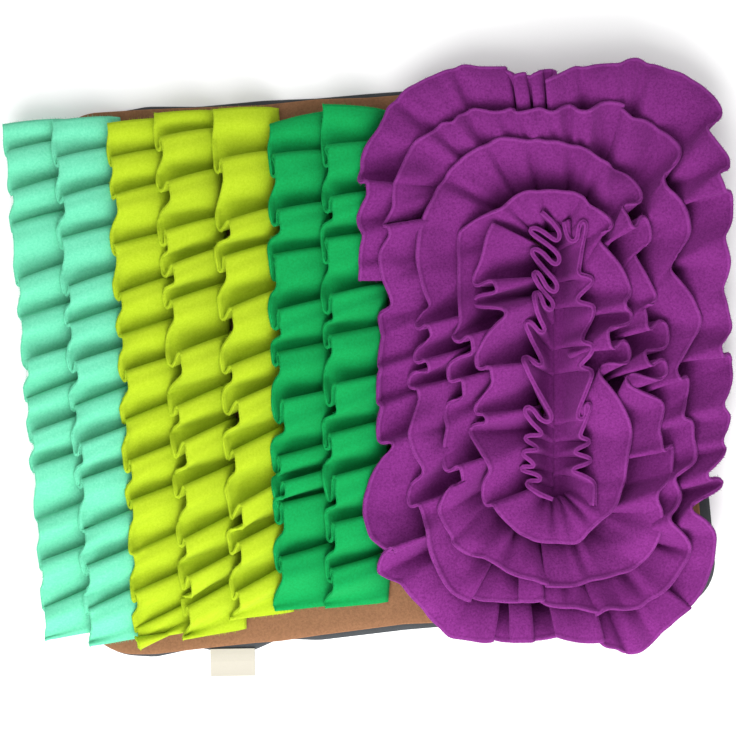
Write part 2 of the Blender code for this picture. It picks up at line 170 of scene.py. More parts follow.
class Material:
    """A material whose nodes are added one by one, and whose shader is the usual one."""

    def __init__(self, name, **shader):
        self.material = bpy.data.materials.new(name)
        self.material.use_nodes = True
        self.shader = self.material.node_tree.nodes["Principled BSDF"]
        self.finish(**shader)

    def set(self, socket, value):
        if isinstance(value, Value):
            self.material.node_tree.links.new(value.socket, socket)
        elif isinstance(value, tuple) and len(value) == 3 and socket.type == "RGBA":
            socket.default_value = (*value, 1.0)
        else:
            socket.default_value = value

    def node(self, kind, settings=None, inputs=None, output=0):
        """A node of this kind: its settings, then its sockets' values or links, and one of its outputs."""
        node = self.material.node_tree.nodes.new(kind)
        for key, value in (settings or {}).items():
            setattr(node, key, value)
        for key, value in (inputs or {}).items():
            self.set(node.inputs[key], value)
        return Value(self, node.outputs[output])

    def place(self):
        return self.node("ShaderNodeTexCoord", output="Object")

    def noise(self, place, scale, detail=2.0, roughness=0.5, distortion=0.0):
        inputs = dict(Vector=place, Scale=scale, Detail=detail, Roughness=roughness, Distortion=distortion)
        return self.node("ShaderNodeTexNoise", inputs=inputs)

    def mix(self, factor, first, second):
        """One colour turning into another."""
        settings = dict(data_type="RGBA", blend_type="MIX")
        return self.node("ShaderNodeMix", settings, {0: factor, 6: first, 7: second}, output=2)

    def bump(self, height, strength, distance):
        inputs = dict(Height=height, Strength=strength, Distance=distance)
        return self.node("ShaderNodeBump", inputs=inputs)

    def finish(self, **shader):
        """The material, once these sockets of its shader are set or linked."""
        for socket, value in shader.items():
            self.set(self.shader.inputs[socket.replace("_", " ").title()], value)
        return self.material


def shade(colour, share):
    return tuple(part * share for part in colour)


def fleece(dye, base, shadow, light, pile, rim, sheen):
    """Brushed fleece: short clumped pile with painted shade in its low spots, and a cut edge with a painted
    highlight on its lip and painted shade in its groove.
    """
    made = Material(f"{dye}_fleece", roughness=0.95, sheen_weight=sheen, sheen_roughness=0.5,
                    sheen_tint=(*light, 1.0))
    made.set(made.shader.inputs["Specular IOR Level"], 0.2)
    place = made.place()
    clumps = made.noise(place, CLUMPS, roughness=0.55, distortion=0.3)
    height = clumps * 0.62 + made.noise(place, FIBRES, roughness=0.7) * 0.38
    worn = made.mix(made.noise(place, PATCHES), shadow, light)
    body = made.mix(0.80, worn, base)
    # Painted shade: the pile's low spots, between its clumps, are drawn towards the shadow colour, along with
    # the bump.
    body = made.mix((height - 0.34) * (2.0 + 3.0 * pile), shadow, body)
    cut = made.node("ShaderNodeAttribute", dict(attribute_name="cut_edge"), output=2)
    # Painted light and shade at a cut edge: a painted highlight on its lip, and painted shade in the groove
    # beside it.
    body = made.mix((cut - PLAIN_CLOTH) * 2.0 * rim, body, light)
    body = made.mix((PLAIN_CLOTH - cut) * 2.0 * rim, body, shadow)
    return made.finish(base_color=body, normal=made.bump(height, pile, PILE_DEPTH))


def add_object(name, data):
    """A new object in the scene."""
    made = bpy.data.objects.new(name, data)
    bpy.context.scene.collection.objects.link(made)
    return made


def add_piece(name, points, faces, material):
    """A smooth-shaded mesh from points in millimetres."""
    mesh = bpy.data.meshes.new(name)
    mesh.from_pydata((np.asarray(points) * MM).tolist(), [], faces)
    mesh.materials.append(material)
    mesh.shade_smooth()
    return add_object(name, mesh)


def mark_cut_edge(piece, values):
    """Stores how much each point of a fleece piece is cut edge, for its material's painted highlight and
    shade there; the values are repeated.
    """
    values = np.resize(values, len(piece.data.vertices)).astype(np.float32)
    piece.data.attributes.new("cut_edge", "FLOAT", "POINT").data.foreach_set("value", values)


def pad_outline(*columns):
    """Points round the pad's edge, anticlockwise, moved out by these columns of the edge table."""
    half_x, half_y = PAD_LENGTH / 2 - PAD_CORNER, PAD_WIDTH / 2 - PAD_CORNER
    track = []
    middles = ((half_x, half_y), (-half_x, half_y), (-half_x, -half_y), (half_x, -half_y))
    for side, (cx, cy) in enumerate(middles):
        for angle in np.linspace(math.pi / 2 * side, math.pi / 2 * (side + 1), CORNER_POINTS):
            track.append((cx + PAD_CORNER * math.cos(angle), cy + PAD_CORNER * math.sin(angle)))
    track = Line(track + track[:1])
    points, outward = track.read(evenly(track.length, OUTLINE_STEP)[:-1])
    shares = (np.arctan2(points[:, 1], points[:, 0]) / (2 * math.pi)) % 1.0
    out = sum(np.interp(shares, column(PAD_EDGE, "share"), column(PAD_EDGE, key)) for key in columns)
    return points + outward * out[:, None]


def flat_sheet(outline, low, high, rounding):
    """Points and faces of a flat sheet of this outline: rings from under its middle round to the top."""
    centre, count = outline.mean(axis=0), len(outline)
    inward = (centre - outline) / np.linalg.norm(centre - outline, axis=1)[:, None]
    under = [(row["inside"] * rounding, low + row["below"] * rounding) for row in ROUNDED]
    over = [(row["inside"] * rounding, high - row["below"] * rounding) for row in ROUNDED]
    rings = [(outline + inward * inset, z) for inset, z in under + over[::-1]]
    middle = centre + (outline - centre) * MIDDLE_SHARE
    rings = [(middle, low), *rings, (middle, high)]
    points = np.concatenate([np.column_stack([flat, np.full(count, z)]) for flat, z in rings])
    last, faces = (len(rings) - 1) * count, []
    for start in range(0, last, count):
        for i in range(count):
            j = (i + 1) % count
            faces.append([start + i, start + j, start + count + j, start + count + i])
    faces += [list(range(count))[::-1], list(range(last, last + count))]
    return points, faces


brown = fleece("brown", BROWN, shade(BROWN, 0.7), shade(BROWN, 1.35), pile=0.35, rim=0.3, sheen=0.12)
dark = Material("backing_cloth", roughness=0.82, sheen_weight=0.15)
dark_place = dark.place()
weave = dark.noise(dark_place, 900.0, detail=1.0) * 0.6 + dark.noise(dark_place, 60.0) * 0.4
dark_colour = dark.mix(weave, shade(BACKING_DARK, 0.6), shade(BACKING_DARK, 1.7))
dark_material = dark.finish(base_color=dark_colour, normal=dark.bump(weave, 0.5, WEAVE_DEPTH))

points, faces = flat_sheet(pad_outline("bulge"), PAD_LOW, PAD_TOP, PAD_ROUNDING)
pad_top = add_piece("pad_fleece", points, faces, brown)
mark_cut_edge(pad_top, PLAIN_CLOTH)
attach(pad_top, "root")
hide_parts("pad_top")

points, faces = flat_sheet(pad_outline("bulge", "backing"), 0.0, BACKING_THICK, BACKING_ROUNDING)
backing = add_piece("backing_sheet", points, faces, dark_material)
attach(backing, "root")
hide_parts("pad_backing")

# ======== label
# A piece of plain cream woven tape, folded in two and caught in the pad's bottom seam. Its ends are inside
# the seam, and it droops over the backing to the floor.

LABEL_WIDTH, LABEL_LENGTH, LABEL_PLY = 42.0, 26.0, 0.6
LABEL_PLACE, LABEL_TURN, LABEL_STEPS = (-164.2, -261.0), math.radians(-3.0), 12
FOLD_MIDDLE, UPPER_LOW, UPPER_TOP = 1.4, 1.8, 2.8  # heights over the lower ply's underside, in plies
CREAM = (0.46, 0.43, 0.36)
RIBS, PICKS, TAPE_DEPTH = 420.0, 560.0, 0.0003

# How the tape droops: how far out from the seam, and how high its underside is there.
DROOP = table(
    "out low",
    (0.0, PAD_LOW),
    (2.5, PAD_LOW),
    (5.0, PAD_LOW),
    (8.5, 1.9),
    (12.0, 1.6),
    (16.0, 1.0),
    (20.0, 0.5),
    (23.5, 0.2),
    (LABEL_LENGTH, 0.1),
)


def put_down(points, turn, place):
    """Points of a piece's own plan, turned and put in their place on the pad."""
    c, s = math.cos(turn), math.sin(turn)
    return np.asarray(points, float) @ np.array([[c, s], [-s, c]]) + np.array(place)


def facing_out(points, faces):
    """The faces, turned round if they enclose a negative volume."""
    points, quads = np.asarray(points), np.array([face for face in faces if len(face) == 4])
    a, b, c, d = (points[quads[:, i]] for i in range(4))
    volume = (a * np.cross(b, c)).sum() + (a * np.cross(c, d)).sum()
    return faces if volume > 0 else [face[::-1] for face in faces]


run, low = column(DROOP, "out"), column(DROOP, "low")
fold = low[-1] + FOLD_MIDDLE * LABEL_PLY
section = [*zip(run, low), (run[-1] + LABEL_PLY, fold)]
section += zip(run[::-1], low[::-1] + UPPER_TOP * LABEL_PLY)
section += zip(run[:-1], low[:-1] + UPPER_LOW * LABEL_PLY)
section += [(run[-1] - LABEL_PLY, fold), *zip(run[-2::-1], low[-2::-1] + LABEL_PLY)]
points, faces, count = [], [], len(section)
for step in range(LABEL_STEPS + 1):
    side = (0.5 - step / LABEL_STEPS) * LABEL_WIDTH
    points += [(*put_down((side, -drop), LABEL_TURN, LABEL_PLACE), z) for drop, z in section]
for start in range(0, LABEL_STEPS * count, count):
    for i in range(count):
        j = (i + 1) % count
        faces.append([start + i, start + count + i, start + count + j, start + j])
faces += [list(range(count)), [LABEL_STEPS * count + i for i in range(count)][::-1]]

tape = Material("label_tape", roughness=0.75, sheen_weight=0.1)
tape_place = tape.place()
ribs, picks = (
    tape.node("ShaderNodeTexWave", dict(wave_type="BANDS", bands_direction=way),
              dict(Vector=tape_place, Scale=scale, Distortion=0.6), output="Fac")
    for way, scale in (("X", RIBS), ("Y", PICKS))
)
threads = ribs * 0.5 + picks * 0.5
tape_colour = tape.mix(threads * 0.5 + tape.noise(tape_place, 90.0) * 0.3, shade(CREAM, 0.86), CREAM)
tape_material = tape.finish(base_color=tape_colour, normal=tape.bump(threads, 0.35, TAPE_DEPTH))

label = add_piece("bare_label", points, facing_out(points, faces), tape_material)
label.data.shade_flat()
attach(label, "root")
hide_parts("label")

# ======== straight ruffles
# Seven strips of fleece, each knife-pleated and sewn to the pad along one long edge. The folds lie down the
# seam, each free edge leans over the seam of the ruffle to its left, and the cut edges shed loose fibres.

STRIP, FLEECE, SEAM_GAP = 64.0, 3.0, 0.7
PLEAT_LIFT, EDGE_LIFT = 2.4, 2.2  # from one layer of a pleat to the next, at the seam and at the free edge
LOWEST = -1.1  # the layer of a pleat's undermost fold
TUCK = 9.0  # how far past its fold that undermost cloth is caught in the seam
ROW_STEP = 2.7
LEAST_SHARE, MOST_SHARE = 0.02, 0.96  # of a strip's width, how far from its seam its free edge may be
SWELL, SWELL_MOST = 0.07, 40.0  # how far the edge bows between two bends, as a share of up to this distance
FIBRE_STEP, FIBRE_LENGTH, FIBRE_RADIUS, FIBRE_SPREAD, FIBRE_SPLAY = 1.3, 2.6, 0.2, 0.55, 0.6
FIBRE_SCALES = (0.5, 1.3)  # the smallest and the largest fibre, as shares of their usual size

# Over a strip's width from its seam to its cut edge: how far across, how thick, and how much it is cut edge,
# for the painted highlight on the lip and painted shade in the groove.
ACROSS = table(
    "share thick cut",
    *((k / 14, 1.0, PLAIN_CLOTH) for k in range(13)),
    (0.935, 1.0, PLAIN_CLOTH),
    (0.962, 0.76, 0.0),
    (0.982, 1.04, 1.0),
    (1.0, 1.1, 1.0),
)
# Round the cut edge, in half thicknesses: how far past the strip's width, how far up, and how much cut edge,
# for the painted highlight on the lip.
LIP = table(
    "out up cut",
    (0.5, 0.95, 1.0),
    (1.0, 0.6, 1.0),
    (0.45, 0.0, 0.4),
    (1.0, -0.6, 1.0),
    (0.5, -0.95, 1.0),
)
SHARES, THICKS, CUTS = (column(ACROSS, key) for key in ("share", "thick", "cut"))
CUT_RING = np.concatenate([CUTS, column(LIP, "cut"), CUTS[::-1]])

# Each dye: its own colour, a darker colour for painted shade, a lighter one for painted highlights and the
# sheen's tint (both also mixed in random patches), its pile's strength, the strength of the painted light and
# shade at a cut edge, and its sheen.
DYES = table(
    "dye base shadow light pile rim sheen",
    ("mint", (0.145, 0.57, 0.365), (0.095, 0.48, 0.29), (0.21, 0.65, 0.45), 0.3, 0.05, 0.12),
    ("lime", (0.375, 0.50, 0.014), (0.30, 0.42, 0.007), (0.44, 0.56, 0.04), 0.3, 0.05, 0.12),
    ("green", (0.001, 0.285, 0.069), (0.001, 0.22, 0.046), (0.005, 0.36, 0.10), 0.3, 0.05, 0.12),
    ("purple", (0.175, 0.0178, 0.171), (0.107, 0.0075, 0.102), (0.28, 0.049, 0.28), 0.45, 0.27, 0.5),
)

# Strip by strip from the left: the ends of its seam, how far its free edge reaches, how far ahead of its seam
# that edge lies, how far each pleat swings in, where the first one starts, how much further the cloth leans
# at the bottom, how far a pleat turns back under itself, and how far apart the folds are.
STRAIGHT = table(
    "name dye top bottom reach lean swing first slant hook pitches",
    ("mint_ruffle_1", "mint", (-283, 249), (-278, -233), 61, 11, 7.5, 2, 8, 8,
     (18, 35, 34, 50, 38, 44, 32, 36, 34, 48, 43, 40, 42)),
    ("mint_ruffle_2", "mint", (-237, 248), (-237.5, -242), 60, 11, 9, 2, 9, 9,
     (28, 35, 41, 44, 36, 40, 38, 39, 36, 44, 38, 37, 47)),
    ("lime_ruffle_1", "lime", (-186, 243), (-194.5, -239), 59.5, 10, 7.5, 4, 13, 9,
     (28, 32, 50, 43, 41, 38, 42, 42, 40, 45, 41, 31, 20)),
    ("lime_ruffle_2", "lime", (-142, 247), (-149.5, -242), 59.5, 10, 13, 2, 15, 12,
     (17, 40, 48, 30, 36, 52, 48, 36, 44, 48, 38, 26, 40)),
    ("lime_ruffle_3", "lime", (-87, 246), (-103.5, -229), 59.5, 10, 14, 2, 17, 12,
     (39, 52, 33, 43, 53, 33, 41, 49, 36, 41, 33)),
    ("green_ruffle_1", "green", (-35, 240), (-61, -225), 59, 7, 10, 14, 7, 20,
     (38, 49, 43, 49, 42, 46, 50, 25, 22, 48, 56)),
    ("green_ruffle_2", "green", (14.5, 237), (-14, -226), 59, 7, 10, -3, 7, 19,
     (31, 47, 41, 51, 41, 48, 45, 42, 47, 41, 44)),
)

# One bend of a free edge: its place along the seam's line and its reach from it, its radius, which way it
# turns, where its cloth is sewn down, and the pleat's layer that it is in. An outer bend's reach is the
# furthest out that the edge comes, and an inner one's is the least.
Bend = namedtuple("Bend", "at reach radius turn seam layer")
OUTER, INNER = 1.0, -1.0
HOLLOW_RADIUS, CREST_RADIUS, HOOK_RADIUS, BACK_RADIUS = 9.0, 10.0, 2.8, 2.2
HOLLOW_PLACE, CREST_PLACE, LAST_HOLLOW, CREST_AFTER = 0.30, 0.82, 0.55, 8.0


def jitter(k, step=0.618034):
    """An even scatter between -1 and 1 for whole numbers k."""
    return 2.0 * ((np.asarray(k) * step) % 1.0) - 1.0


def soften(rows, times):
    """The rows, each drawn towards the two beside it; the first and the last stay."""
    for _ in range(times):
        rows[1:-1] = (rows[:-2] + 2 * rows[1:-1] + rows[2:]) / 4
    return rows


def straight_bends(row, length):
    """Bends of a straight ruffle: each pleat swings out, hooks under the next fold and comes back to it."""
    pitches = np.array(row["pitches"])
    pitches = pitches * length / pitches.sum()
    start, inner, turned = 0.0, row["reach"] - 3.0, 0.0
    bends = [Bend(row["first"], inner, 0.0, OUTER, 0.0, 0.6)]
    for k, pitch in enumerate(pitches):
        end = start + pitch
        slant = row["slant"] * min(end / length, 0.85)
        edge, edge_end = bends[-1].at, end + (row["lean"] + 2.5 * jitter(k + 5))
        outer = row["reach"] + 1.5 * jitter(k + 3, 0.7548777)
        way = edge_end - edge
        hollow = min(max(HOLLOW_PLACE * way, turned + 1.0), LAST_HOLLOW * way)
        crest = max(CREST_PLACE * way, hollow + CREST_AFTER)
        crest_seam = start + CREST_PLACE * pitch - slant
        bends.append(Bend(edge + hollow, inner - 0.5, HOLLOW_RADIUS, INNER, start + 0.4 * pitch - slant, 0.9))
        bends.append(Bend(edge + crest, outer, CREST_RADIUS, OUTER, crest_seam, 0.2))
        if k == len(pitches) - 1:
            bends.append(Bend(length + 3.0, outer - 2.0, 0.0, OUTER, length, -0.4))
            break
        inner = outer - row["swing"] * (1.0 + 0.3 * jitter(k, 0.5698403))
        turned = row["hook"] * (1.0 + 0.4 * jitter(k + 1))
        hook_at, hook_reach = edge_end + turned - 3.0, outer - 0.08 * turned
        bends.append(Bend(hook_at, hook_reach, HOOK_RADIUS, OUTER, end + TUCK - slant, LOWEST))
        bends.append(Bend(edge_end + 2.0, inner, BACK_RADIUS, INNER, end - slant, 0.8))
        start = end
    return bends


def belt(bends, step, shrinks=6, arc=9, touching=1e-6, slight=5.0):
    """Rows (seam place, layer, edge place, reach) along a free edge that runs like a belt round its bends.

    Bends that are too large for their neighbours shrink a few times over. Each is an arc of a few points, or
    none if it would turn by more than slight, in radians, as the belt then bends the other way there.
    """
    at, reach, radius, turn, seam, layer = np.array(bends, float).T
    for _ in range(shrinks):
        centres = np.stack([at, reach - turn * radius], axis=1)
        apart = np.diff(centres, axis=0)
        between = np.linalg.norm(apart, axis=1)
        cross = turn[1:] * radius[1:] - turn[:-1] * radius[:-1]
        shrink = np.minimum(1.0, 0.9 * between / np.maximum(np.abs(cross), touching))
        radius = radius * np.minimum(np.append(shrink, 1.0), np.append(1.0, shrink))
    straight = np.sqrt(np.maximum(between ** 2 - cross ** 2, touching))
    heading = np.arctan2(apart[:, 1], apart[:, 0]) + np.arctan2(cross, straight)
    arrive, leave = np.append(heading[0], heading), np.append(heading, heading[-1])
    angle = (turn * (arrive - leave)) % (2 * math.pi)
    angle = np.where(angle > slight, 0.0, angle)
    track, middles = [], []
    for i, centre in enumerate(centres):
        middles.append(len(track) + arc // 2)
        for a in arrive[i] - turn[i] * np.linspace(0.0, angle[i], arc):
            track.append(centre + turn[i] * radius[i] * np.array([-math.sin(a), math.cos(a)]))
        if i < len(straight):
            ahead = np.array([math.cos(heading[i]), math.sin(heading[i])])
            outward, end = np.array([-ahead[1], ahead[0]]), track[-1]
            swell = SWELL * (0.5 + jitter(i)) * min(straight[i], SWELL_MOST)
            for part in (0.25, 0.5, 0.75):
                track.append(end + ahead * straight[i] * part + outward * swell * math.sin(math.pi * part))
    track = np.array(track)
    along = run_along(track, touching)
    rows = evenly(along[-1], step)
    sewn = [np.interp(rows, along[middles], values) for values in (seam, layer)]
    free = [np.interp(rows, along, values) for values in track.T]
    return np.stack(sewn + free, axis=1)


def even_rows(rows, line, side, step):
    """The same rows, spaced evenly along the free edge as it lies on the pad, with its corners softened."""
    point, outward = line.read(rows[:, 2])
    along = run_along(point + outward * side * rows[:, 3:4], 1e-6)
    places = evenly(along[-1], step)
    return soften(np.stack([np.interp(places, along, values) for values in rows.T], axis=1), 2), places


def curve_up(share, width, curl, power, tilts=(-0.6, 3.0), halvings=30):
    """How far out and up cloth of this width comes that reaches this share of it from its seam, and its tilt.

    It is steeper at its seam than at its free edge by curl. Its tilt at the free edge is found by halving the
    range between these tilts, all in radians.
    """
    pieces = np.diff(SHARES)[None, :]
    bent = curl[:, None] * (1.0 - SHARES[None, :]) ** power
    low, high = (np.full((len(share), 1), tilt) for tilt in tilts)
    for _ in range(halvings):
        tilt = (low + high) / 2 + bent
        reached = np.cos((tilt[:, 1:] + tilt[:, :-1]) / 2) * pieces
        slack = reached.sum(axis=1, keepdims=True) > share[:, None]
        low, high = np.where(slack, (low + high) / 2, low), np.where(slack, high, (low + high) / 2)
    tilt = (low + high) / 2 + bent
    between = (tilt[:, 1:] + tilt[:, :-1]) / 2
    out = np.cumsum(np.cos(between) * pieces, axis=1) * width[:, None]
    up = np.cumsum(np.sin(between) * pieces, axis=1) * width[:, None]
    zero = np.zeros((len(out), 1))
    return np.concatenate([zero, out], axis=1), np.concatenate([zero, up], axis=1), tilt


def ripple(places, width, size, seed, lengths=(60.0, 42.0, 30.0, 21.0), times=3):
    """A gentle unevenness of the cloth, in millimetres, over its own length and width."""
    rng = np.random.default_rng(seed)
    along, across = places[:, None], SHARES[None, :] * width
    total = np.zeros((len(places), len(SHARES)))
    for length in lengths:
        for _ in range(times):
            angle, phase = rng.uniform(0, 2 * math.pi, 2)
            wave = (along * math.cos(angle) + across * math.sin(angle)) * 2 * math.pi / length
            total += np.sin(wave + phase) * length / lengths[0]
    return total * size / times * (0.15 + 0.85 * SHARES)[None, :]


def nowhere(distance):
    return np.zeros(len(distance))


def ruffle_sheet(line, bends, seed, width, curl, curl_limit, power, belly, uneven, side=1.0,
                 inward=nowhere, wider=nowhere):
    """Middle surface of a strip that is sewn along a line, and its rows' places along its free edge.

    Inward and wider give, by the place along the seam, how far inside the line it is sewn, and how much wider
    the strip is there.
    """
    rows, places = even_rows(belt(bends, ROW_STEP / 3), line, side, ROW_STEP)
    seam_at, layer, edge_at, edge_reach = rows.T
    seam_point, outward = line.read(seam_at)
    seam_point = seam_point - outward * inward(seam_at)[:, None]
    edge_point, outward = line.read(edge_at)
    edge_point = edge_point + outward * side * edge_reach[:, None]
    reach = edge_point - seam_point
    distance = np.linalg.norm(reach, axis=1)
    direction = reach / distance[:, None]
    widths = width + wider(seam_at)
    share = np.clip(distance / widths, LEAST_SHARE, MOST_SHARE)
    limit = curl_limit * np.sqrt(1.0 - share)
    out, up, tilt = curve_up(share, widths, np.clip(curl(share), -limit, limit), power)
    u = SHARES[None, :]
    lift = (PLEAT_LIFT + (EDGE_LIFT - PLEAT_LIFT) * u + belly * np.sin(math.pi * u)) * layer[:, None]
    lift = lift + ripple(places, width, uneven, seed)
    out = out - np.sin(tilt) * lift
    height = PAD_TOP + SEAM_GAP + FLEECE / 2 + up + np.cos(tilt) * lift
    height = height - LOWEST * PLEAT_LIFT * np.abs(np.cos(tilt[:, :1]))
    plan = seam_point[:, None, :] + direction[:, None, :] * out[..., None]
    return np.concatenate([plan, height[..., None]], axis=-1), places


def unit(v):
    return v / np.maximum(np.linalg.norm(v, axis=-1, keepdims=True), 1e-9)


def directions(grid):
    """The ways along a strip, across it to its free edge, and out of its face, at each point of its grid."""
    along, across = unit(np.gradient(grid, axis=0)), unit(np.gradient(grid, SHARES, axis=1))
    return along, across, unit(np.cross(across, along))


def thin_sheet(grid, thick, groove):
    """Points and faces of the closed sheet round a grid of middle points.

    The free edge has the soft double lip of cut fleece.
    """
    along, across, normal = directions(grid)
    half = (thick / 2 * (1.0 + groove * (THICKS - 1.0)))[None, :, None]
    out, up = column(LIP, "out") * thick / 2, column(LIP, "up") * thick / 2 * THICKS[-1]
    edge = grid[:, -1:] + across[:, -1:] * out[None, :, None] + normal[:, -1:] * up[None, :, None]
    loop = np.concatenate([grid + normal * half, edge, (grid - normal * half)[:, ::-1]], axis=1)
    rows, ring = loop.shape[:2]
    base = (np.arange(rows - 1) * ring)[:, None] + np.arange(ring)[None, :]
    after = (np.arange(rows - 1) * ring)[:, None] + (np.arange(ring)[None, :] + 1) % ring
    faces = np.stack([base, after, after + ring, base + ring], axis=-1).reshape(-1, 4).tolist()
    for first, turn in ((0, -1), ((rows - 1) * ring, 1)):
        for j in range(ring // 2):
            corners = (first + j, first + j + 1, first + ring - 2 - j, first + ring - 1 - j)
            faces.append(list(dict.fromkeys(corners))[::turn])
    return loop.reshape(-1, 3), faces


def fringe_tree():
    """A node tree that sets tapered fibres along a line, pointing out from the cloth."""
    tree = bpy.data.node_groups.new("cut_edge_fringe", "GeometryNodeTree")
    sizes = dict.fromkeys(("Spacing", "Fibre Length", "Fibre Radius", "Spread"), "Float")
    for name, kind in {"Geometry": "Geometry", **sizes, "Seed": "Int", "Fleece": "Material"}.items():
        tree.interface.new_socket(name, in_out="INPUT", socket_type=f"NodeSocket{kind}")
    tree.interface.new_socket("Geometry", in_out="OUTPUT", socket_type="NodeSocketGeometry")

    def node(kind, inputs, output=0, **settings):
        """A node of this kind: its settings, then its sockets' values or links, and one of its outputs."""
        made = tree.nodes.new(kind)
        for key, value in settings.items():
            setattr(made, key, value)
        for key, value in inputs.items():
            if isinstance(value, bpy.types.NodeSocket):
                tree.links.new(value, made.inputs[key])
            else:
                made.inputs[key].default_value = value
        return made.outputs[output]

    given = tree.nodes.new("NodeGroupInput").outputs
    seed, scales = {"Seed": given["Seed"]}, dict(zip((2, 3), FIBRE_SCALES))
    curve = node("GeometryNodeMeshToCurve", {"Mesh": given["Geometry"]})
    points = node("GeometryNodeCurveToPoints", {"Curve": curve, "Length": given["Spacing"]}, mode="LENGTH")
    out = node("GeometryNodeInputNamedAttribute", {"Name": "outward"}, data_type="FLOAT_VECTOR")
    ends = {0: (-1.0, -1.0, -1.0), 1: (1.0, 1.0, 1.0)}
    stray = node("FunctionNodeRandomValue", {**ends, **seed}, data_type="FLOAT_VECTOR")
    stray = node("ShaderNodeVectorMath", {0: stray, "Scale": given["Spread"]}, operation="SCALE")
    way = node("ShaderNodeVectorMath", {0: out, 1: stray}, operation="ADD")
    turned = node("FunctionNodeAlignRotationToVector", {"Vector": way}, axis="Z")
    shape = {"Vertices": 3, "Radius Bottom": given["Fibre Radius"], "Depth": given["Fibre Length"]}
    fibre = node("GeometryNodeMeshCone", {**shape, "Radius Top": 0.0}, fill_type="TRIANGLE_FAN")
    scale = node("FunctionNodeRandomValue", {**scales, **seed}, output=1, data_type="FLOAT")
    placed = {"Points": points, "Instance": fibre, "Rotation": turned, "Scale": scale}
    fibres = node("GeometryNodeInstanceOnPoints", placed)
    fibres = node("GeometryNodeRealizeInstances", {"Geometry": fibres})
    fibres = node("GeometryNodeSetMaterial", {"Geometry": fibres, "Material": given["Fleece"]})
    tree.links.new(fibres, tree.nodes.new("NodeGroupOutput").inputs["Geometry"])
    return tree


def cut_edges(grid, thick, sewn=2):
    """Lines along a ruffle's free edge and the loose part of its ends, with the way out from the cloth."""
    along, across, normal = directions(grid)
    lines = []
    for face in (-1.0, 1.0):
        way = unit(across[:, -1] + FIBRE_SPLAY * face * normal[:, -1])
        lines.append((grid[:, -1] + normal[:, -1] * (face * thick / 2), way))
    return lines + [(grid[row, sewn:], way * along[row, sewn:]) for row, way in ((0, -1.0), (-1, 1.0))]


def fringe(name, lines, seed, material):
    """Loose fibres along lines of points, each line given with the way out from the cloth there."""
    points = np.concatenate([line for line, out in lines]) * MM
    outward = np.concatenate([out for line, out in lines])
    starts = np.cumsum([0] + [len(line) for line, out in lines])
    edges = [(k, k + 1) for first, last in zip(starts, starts[1:]) for k in range(first, last - 1)]
    mesh = bpy.data.meshes.new(f"{name}_line")
    mesh.from_pydata(points.tolist(), edges, [])
    mesh.attributes.new("outward", "FLOAT_VECTOR", "POINT").data.foreach_set("vector", outward.ravel())
    source = add_object(f"{name}_line", mesh)
    modifier = source.modifiers.new("fringe", "NODES")
    modifier.node_group = FRINGE
    values = {
        "Spacing": FIBRE_STEP * MM, "Fibre Length": FIBRE_LENGTH * MM, "Fibre Radius": FIBRE_RADIUS * MM,
        "Spread": FIBRE_SPREAD, "Seed": seed, "Fleece": material,
    }
    for item in FRINGE.interface.items_tree:
        if item.in_out == "INPUT" and item.name in values:
            modifier[item.identifier] = values[item.name]
    source.update_tag()
    evaluated = source.evaluated_get(bpy.context.evaluated_depsgraph_get())
    plain = bpy.data.meshes.new_from_object(evaluated)
    plain.name = name
    source.modifiers.remove(modifier)
    bpy.data.objects.remove(source)
    return add_object(name, plain)


class Ground:
    """The top of the cloth that lies on the pad so far, over small squares of it."""

    CELL, HALF_X, HALF_Y = 3.0, 400.0, 340.0
    MOST_RISE, FALL = 24.0, 0.8  # how far cloth is raised at most, and how a rise fades from row to row

    def __init__(self):
        count_x, count_y = int(2 * self.HALF_X / self.CELL), int(2 * self.HALF_Y / self.CELL)
        self.height = np.full((count_x, count_y), PAD_TOP)

    def squares(self, grid):
        across = ((grid[..., 0] + self.HALF_X) / self.CELL).astype(int)
        along = ((grid[..., 1] + self.HALF_Y) / self.CELL).astype(int)
        return across, along

    def add(self, grid):
        across, along = self.squares(grid)
        for right in (-1, 0, 1):
            for up in (-1, 0, 1):
                np.maximum.at(self.height, (across + right, along + up), grid[..., 2])

    def beside(self, values, axis):
        """The values before and after each one along an axis; at an end, the end's own."""
        before, after = np.roll(values, 1, axis), np.roll(values, -1, axis)
        first, last = (slice(None),) * axis + (0,), (slice(None),) * axis + (-1,)
        before[first], after[last] = values[first], values[last]
        return before, after

    def carry(self, grid, gap):
        """The grid, raised softly wherever it would pass through the cloth under it, but not at its seam."""
        short = np.clip(self.height[self.squares(grid)] + gap - grid[..., 2], 0.0, self.MOST_RISE)
        short = short * np.clip(3.0 * SHARES - 0.6, 0.0, 1.0)[None, :]
        for _ in range(2):
            before, after = self.beside(short, 0)
            short = np.maximum(short, np.maximum(before, after) * self.FALL)
        for _ in range(4):
            for axis in (0, 1):
                before, after = self.beside(short, axis)
                short = (before + 2 * short + after) / 4
        raised = grid.copy()
        raised[..., 2] += short
        return raised


def arch_over(share):
    return np.full(share.shape, math.radians(66.0))


def lay_cloth(name, node, dye, grid, length, thick=FLEECE, groove=1.0):
    """A ruffle's cloth, gathered and sewn down on the pad."""
    points, faces = thin_sheet(grid, thick, groove)
    piece = add_piece(name, points, facing_out(points, faces), fleeces[dye])
    mark_cut_edge(piece, CUT_RING)
    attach(piece, "root")
    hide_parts(node)
    length * MM


def lay_fringe(name, node, dye, grid, seed):
    """The loose fibres of a ruffle's cut edges."""
    piece = fringe(name, cut_edges(grid, FLEECE), seed, fleeces[dye])
    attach(piece, "root")
    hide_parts(node)


STRAIGHT_LIE = dict(width=STRIP, curl=arch_over, curl_limit=4.0, power=1.5, belly=2.5, uneven=0.7)
STRAIGHT_GROOVE = 0.2  # how deep the groove beside the cut edge is, as a share of the spiral's
FRINGE = fringe_tree()
ground = Ground()
fleeces = {row["dye"]: fleece(**row) for row in DYES}

